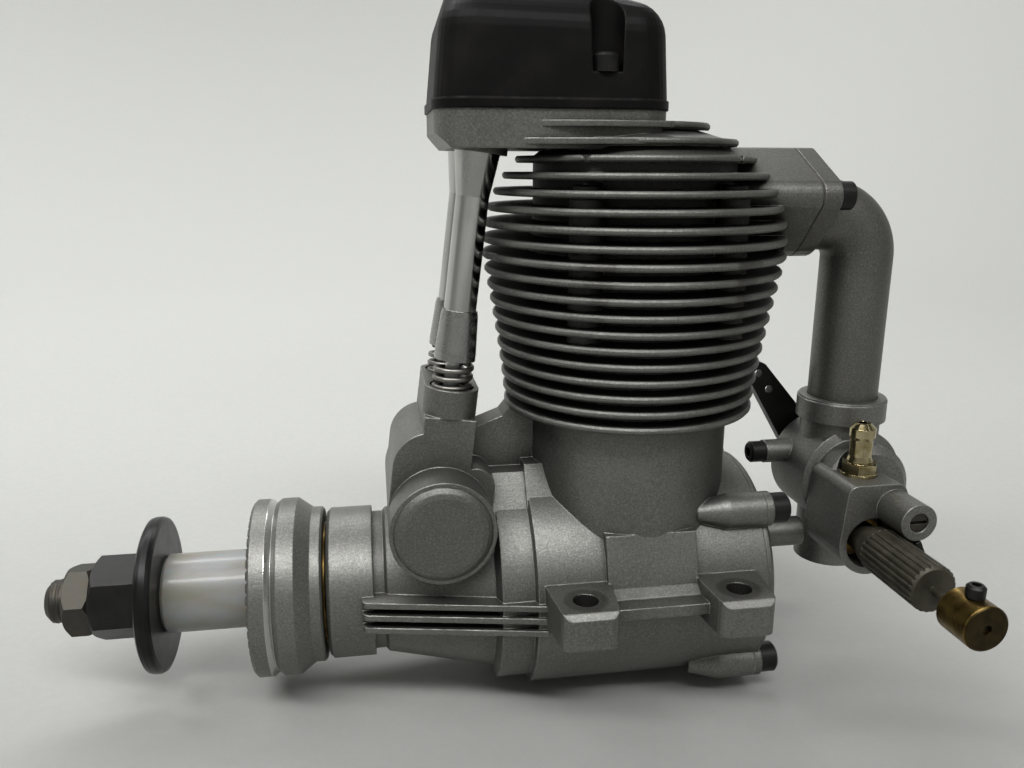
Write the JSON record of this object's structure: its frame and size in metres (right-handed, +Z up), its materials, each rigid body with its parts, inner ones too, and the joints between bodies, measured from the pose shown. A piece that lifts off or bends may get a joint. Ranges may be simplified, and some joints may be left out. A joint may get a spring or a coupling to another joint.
{
  "type": "model glow engine",
  "caption": "Single-cylinder four-stroke model aircraft engine with finned cylinder, rocker cover, pushrod tubes, rear barrel carburettor and threaded propeller shaft on beam lugs.",
  "frame": {"origin": "centre of the four mounting holes on the underside of the lugs, which is the crank axis under the cylinder axis", "axes": "+X along the crankshaft to the carburettor, -X to the propeller, +Z up the cylinder, +Y to the exhaust side"},
  "size_m": [0.1671, 0.0848, 0.1322],
  "materials": {
    "cast_aluminium": "bead-blasted cast aluminium, satin",
    "machined_aluminium": "turned aluminium, bright",
    "steel": "dull steel",
    "black_steel": "black oxide steel",
    "black_plastic": "moulded black plastic, matt",
    "clear_plastic": "translucent white plastic",
    "brass": "brass, turned",
    "gasket": "pressed fibre sheet"
  },
  "bodies": {
    "engine": {"crankcase": "cast_aluminium", "rear_cover": "cast_aluminium", "rear_cover_screws": "black_steel", "cam_covers": "cast_aluminium", "front_bearing": "steel", "rear_bearing": "steel", "cam_bearings": "steel", "cylinder_liner": "steel", "cylinder_head": "cast_aluminium", "head_screws": "black_steel", "glow_plug": "steel", "rocker_cover": "black_plastic", "rocker_cover_screws": "black_steel", "rocker_shaft": "steel", "pushrod_tubes": "machined_aluminium", "pushrod_sleeves": "machined_aluminium", "pushrod_springs": "steel", "intake_pipe": "cast_aluminium", "intake_pipe_screws": "black_steel", "intake_gasket": "gasket", "carburettor_body": "cast_aluminium", "fuel_nipple": "brass", "needle_gland": "brass", "ratchet_spring": "black_steel", "breather_nipple": "brass", "valve_guides": "brass", "intake_valve_spring": "steel", "exhaust_valve_spring": "steel"},
    "crank": {"crankshaft": "steel", "drive_washer": "cast_aluminium", "taper_collet": "brass", "thrust_washer": "brass", "spacer_sleeve": "clear_plastic", "prop_washer": "black_steel", "prop_nut": "black_steel", "lock_nut": "steel"},
    "cam": {"camshaft": "steel", "cam_gear": "steel"},
    "piston_rod": {"piston": "machined_aluminium", "piston_ring": "steel", "wrist_pin": "steel", "connecting_rod": "machined_aluminium"},
    "intake_push": {"intake_tappet": "steel", "intake_pushrod": "steel"},
    "intake_rocker": {"intake_rocker": "steel"},
    "intake_valve": {"intake_valve": "steel", "intake_retainer": "steel"},
    "exhaust_push": {"exhaust_tappet": "steel", "exhaust_pushrod": "steel"},
    "exhaust_rocker": {"exhaust_rocker": "steel"},
    "exhaust_valve": {"exhaust_valve": "steel", "exhaust_retainer": "steel"},
    "throttle": {"throttle_barrel": "machined_aluminium", "throttle_lever": "black_plastic"},
    "needle": {"needle_valve": "black_steel", "needle_collar": "brass", "collar_screw": "black_steel"},
    "mixture": {"mixture_screw": "steel"},
    "throttle_stop": {"throttle_stop_screw": "black_steel"}
  },
  "joints": [
    {"name": "crank_turn", "type": "hinge", "parent": "engine", "child": "crank", "pos_m": [0, 0, 0], "axis": [1, 0, 0], "continuous": true},
    {"name": "cam_turn", "type": "hinge", "parent": "engine", "child": "cam", "pos_m": [-0.0377, 0, 0.017], "axis": [0, 1, 0], "continuous": true},
    {"name": "piston_slide", "type": "slide", "parent": "engine", "child": "piston_rod", "axis": [0, 0, 1], "range_m": [0, 0.0275]},
    {"name": "intake_valve_slide", "type": "slide", "parent": "engine", "child": "intake_valve", "axis": [0, 0, -1], "range_m": [0, 0.0029], "stiffness_N_per_m": 200, "springref_m": -0.004, "deforming": ["intake_valve_spring"]},
    {"name": "intake_rock", "type": "hinge", "parent": "engine", "child": "intake_rocker", "pos_m": [-0.017, -0.0063, 0.0941], "axis": [0, 1, 0], "range_deg": [0, 13.9]},
    {"name": "intake_push_slide", "type": "slide", "parent": "engine", "child": "intake_push", "axis": [0.1219, 0, 0.9925], "range_m": [0, 0.0028]},
    {"name": "exhaust_valve_slide", "type": "slide", "parent": "engine", "child": "exhaust_valve", "axis": [0, 0, -1], "range_m": [0, 0.0029], "stiffness_N_per_m": 200, "springref_m": -0.004, "deforming": ["exhaust_valve_spring"]},
    {"name": "exhaust_rock", "type": "hinge", "parent": "engine", "child": "exhaust_rocker", "pos_m": [-0.017, 0.0063, 0.0941], "axis": [0, 1, 0], "range_deg": [0, 13.9]},
    {"name": "exhaust_push_slide", "type": "slide", "parent": "engine", "child": "exhaust_push", "axis": [0.1219, 0, 0.9925], "range_m": [0, 0.0028]},
    {"name": "throttle_turn", "type": "hinge", "parent": "engine", "child": "throttle", "pos_m": [0.04635, 0, 0.0177], "axis": [0, 1, 0], "range_deg": [0, 75]},
    {"name": "needle_turn", "type": "hinge", "parent": "engine", "child": "needle", "pos_m": [0.04255, -0.03, 0.0106], "axis": [0, 1, 0], "range_deg": [-720, 720]},
    {"name": "mixture_turn", "type": "hinge", "parent": "engine", "child": "mixture", "pos_m": [0.04635, -0.02, 0.0177], "axis": [0, 1, 0], "range_deg": [-180, 180]},
    {"name": "throttle_stop_turn", "type": "hinge", "parent": "engine", "child": "throttle_stop", "pos_m": [0.03335, 0.003, 0.0213], "axis": [1, 0, 0], "range_deg": [-360, 360]}
  ],
  "couplings": [
    {"joint": "cam_turn", "follows": "crank_turn", "ratio": 0.5},
    {"joint": "intake_push_slide", "follows": "intake_valve_slide", "ratio": 0.96476},
    {"joint": "intake_rock", "follows": "intake_valve_slide", "rad_per_m": 83.333},
    {"joint": "exhaust_push_slide", "follows": "exhaust_valve_slide", "ratio": 0.96476},
    {"joint": "exhaust_rock", "follows": "exhaust_valve_slide", "rad_per_m": 83.333}
  ]
}
